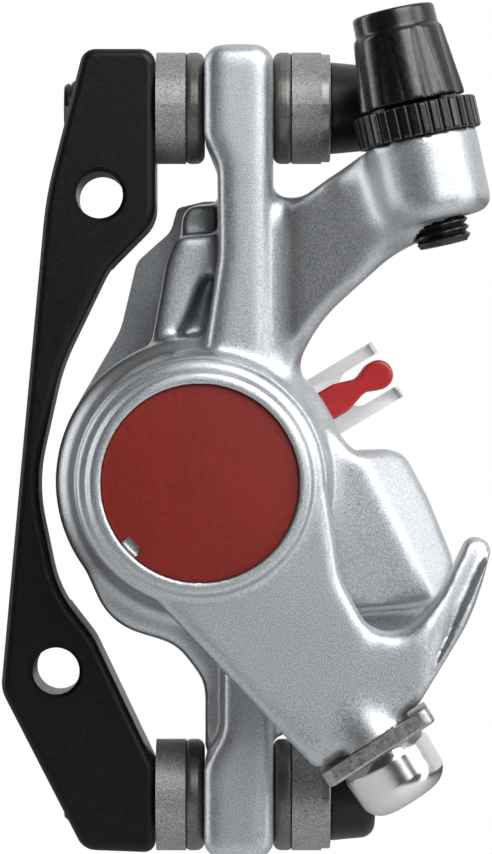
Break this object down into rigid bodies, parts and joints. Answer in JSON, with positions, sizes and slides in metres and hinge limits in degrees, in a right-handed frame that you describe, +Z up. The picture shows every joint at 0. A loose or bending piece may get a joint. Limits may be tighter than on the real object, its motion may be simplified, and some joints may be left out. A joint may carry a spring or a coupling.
{
  "type": "mechanical disc brake caliper",
  "caption": "Cable-pulled bicycle disc brake caliper: a lever arm turns a ball ramp that pushes a pad onto the rotor; a black bracket bolts it to the frame.",
  "frame": {"origin": "where the pad axis crosses the middle of the rotor, halfway between the two pads", "axes": "+Z up along the line of the mounting posts, +Y along the pad axis towards the wheel, +X away from the frame bracket"},
  "size_m": [0.0516, 0.0502, 0.0903],
  "materials": {
    "cast": "fine satin speckle over a casting",
    "bracket_black": "satin black coat",
    "bolt_black": "black oxide",
    "washer_grey": "blasted grey",
    "washer_dark": "dark grey, rounded rim",
    "washer_steel": "plated",
    "pad_red": "red paint on pressed steel",
    "lining": "sintered metal, grainy",
    "spring_steel": "bright spring steel",
    "plain_steel": "machined and plated",
    "ball_steel": "polished",
    "bearing_bronze": "sintered bronze",
    "seal_rubber": "moulded",
    "cap_red": "brick red, softly textured",
    "clamp_steel": "satin",
    "clamp_chrome": "mirror polish",
    "barrel_black": "glossy black moulding",
    "ferrule_metal": "plated brass"
  },
  "bodies": {
    "caliper": {"outboard_housing": "cast", "inboard_housing": "cast", "body_bolts": "bolt_black", "mounting_bracket": "bracket_black", "mount_bolts": "bolt_black", "bolt_washers": "washer_steel", "bracket_cup_washers": "washer_grey", "bracket_ball_washers": "washer_dark", "head_cup_washers": "washer_grey", "head_ball_washers": "washer_dark", "spindle_bush": "bearing_bronze", "thrust_race": "plain_steel", "dust_seal": "seal_rubber", "pad_spring": "spring_steel", "return_spring": "spring_steel", "wave_washer": "washer_steel"},
    "arm": {"actuation_arm": "cast", "arm_cap": "cap_red", "arm_washer": "washer_steel", "arm_nut": "plain_steel", "drive_spindle": "plain_steel", "ramp_balls": "ball_steel", "cable_clamp_plate": "clamp_steel", "cable_clamp_bolt": "clamp_chrome"},
    "bearing": {"thrust_balls": "ball_steel", "thrust_cage": "bearing_bronze"},
    "outer_pad": {"piston": "plain_steel", "outboard_pad_plate": "pad_red", "outboard_friction": "lining"},
    "knob": {"adjuster_knob": "cap_red", "adjuster_screw": "plain_steel", "knob_screw": "plain_steel"},
    "inner_pad": {"adjuster_foot": "plain_steel", "inboard_pad_plate": "pad_red", "inboard_friction": "lining"},
    "ferrule": {"housing_ferrule": "ferrule_metal"},
    "barrel": {"barrel_adjuster": "barrel_black"},
    "ring": {"lock_ring": "barrel_black"}
  },
  "joints": [
    {"name": "arm_swing", "type": "hinge", "parent": "caliper", "child": "arm", "pos_m": [0, -0.02, 0], "axis": [0, -1, 0], "range_deg": [0, 40], "stiffness_Nm_per_rad": 0.15, "springref_deg": -51.57, "deforming": ["return_spring"]},
    {"name": "bearing_roll", "type": "hinge", "parent": "caliper", "child": "bearing", "pos_m": [0, -0.0167, 0], "axis": [0, -1, 0], "range_deg": [0, 20.1]},
    {"name": "outer_pad_push", "type": "slide", "parent": "caliper", "child": "outer_pad", "axis": [0, 1, 0], "range_m": [0, 0.00101], "deforming": ["pad_spring"]},
    {"name": "knob_turn", "type": "hinge", "parent": "caliper", "child": "knob", "pos_m": [0, 0.014, 0], "axis": [0, -1, 0], "range_deg": [0, 361]},
    {"name": "inner_pad_adjust", "type": "slide", "parent": "caliper", "child": "inner_pad", "axis": [0, -1, 0], "range_m": [0, 0.001], "deforming": ["pad_spring"]},
    {"name": "barrel_lift", "type": "slide", "parent": "caliper", "child": "ferrule", "axis": [-0.2147, 0, 0.9767], "range_m": [0, 0.005]},
    {"name": "barrel_turn", "type": "hinge", "parent": "ferrule", "child": "barrel", "pos_m": [0.023, -0.0252, 0.036], "axis": [-0.2147, 0, 0.9767], "range_deg": [0, 1801]},
    {"name": "ring_turn", "type": "hinge", "parent": "caliper", "child": "ring", "pos_m": [0.023, -0.0252, 0.036], "axis": [-0.2147, 0, 0.9767], "range_deg": [0, 90]}
  ],
  "couplings": [
    {"joint": "outer_pad_push", "follows": "arm_swing", "m_per_rad": 0.0014324},
    {"joint": "bearing_roll", "follows": "arm_swing", "ratio": 0.5},
    {"joint": "knob_turn", "follows": "inner_pad_adjust", "rad_per_m": 6283.2},
    {"joint": "barrel_turn", "follows": "barrel_lift", "rad_per_m": 6283.2}
  ]
}
